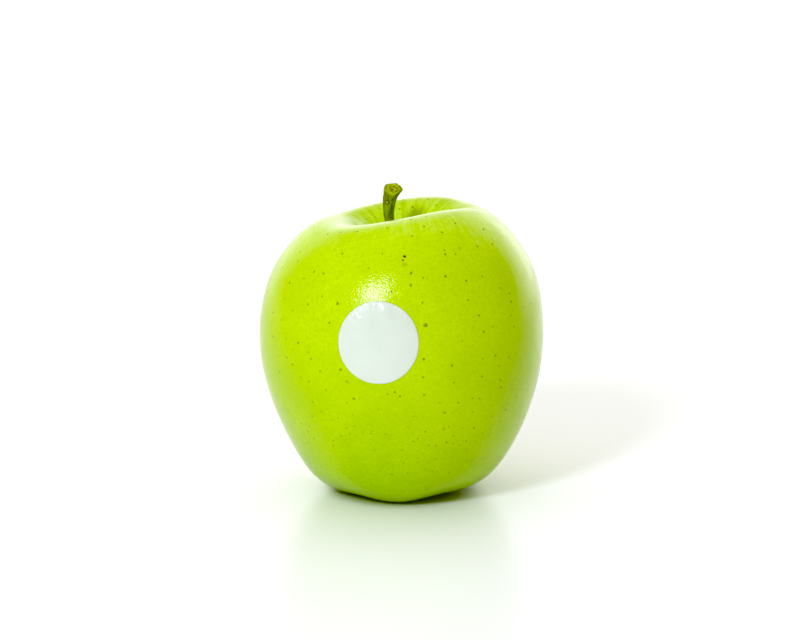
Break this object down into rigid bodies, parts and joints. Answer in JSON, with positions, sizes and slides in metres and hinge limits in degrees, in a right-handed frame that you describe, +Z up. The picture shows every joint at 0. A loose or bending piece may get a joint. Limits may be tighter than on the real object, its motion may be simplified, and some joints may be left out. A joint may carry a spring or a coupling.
{
  "type": "green apple",
  "caption": "Whole green apple standing on its base, with a short stem, dried sepals underneath and a bare round label on its side.",
  "frame": {"origin": "floor point under the middle of the apple's outline, between the feet that it stands on", "axes": "+Z up along the core line towards the stem; -Y towards the front, where the label is; +X to the right of a viewer who faces the label"},
  "size_m": [0.0782, 0.0796, 0.0849],
  "materials": {
    "apple_skin": "smooth waxy yellow-green skin with a soft sheen, pale mottling and small brown-grey lenticel dots",
    "stem_bark": "dull olive-green bark, with a pale yellow-green rim and a fibrous brown middle on the torn end",
    "label_film": "thin glossy white film, unprinted",
    "dry_calyx": "dry matt grey-brown plant fibre"
  },
  "bodies": {
    "root": {"fruit": "apple_skin", "stem": "stem_bark", "label": "label_film", "sepal_1": "dry_calyx", "sepal_2": "dry_calyx", "sepal_3": "dry_calyx", "sepal_4": "dry_calyx", "sepal_5": "dry_calyx", "stamen_tuft": "dry_calyx"}
  },
  "joints": []
}
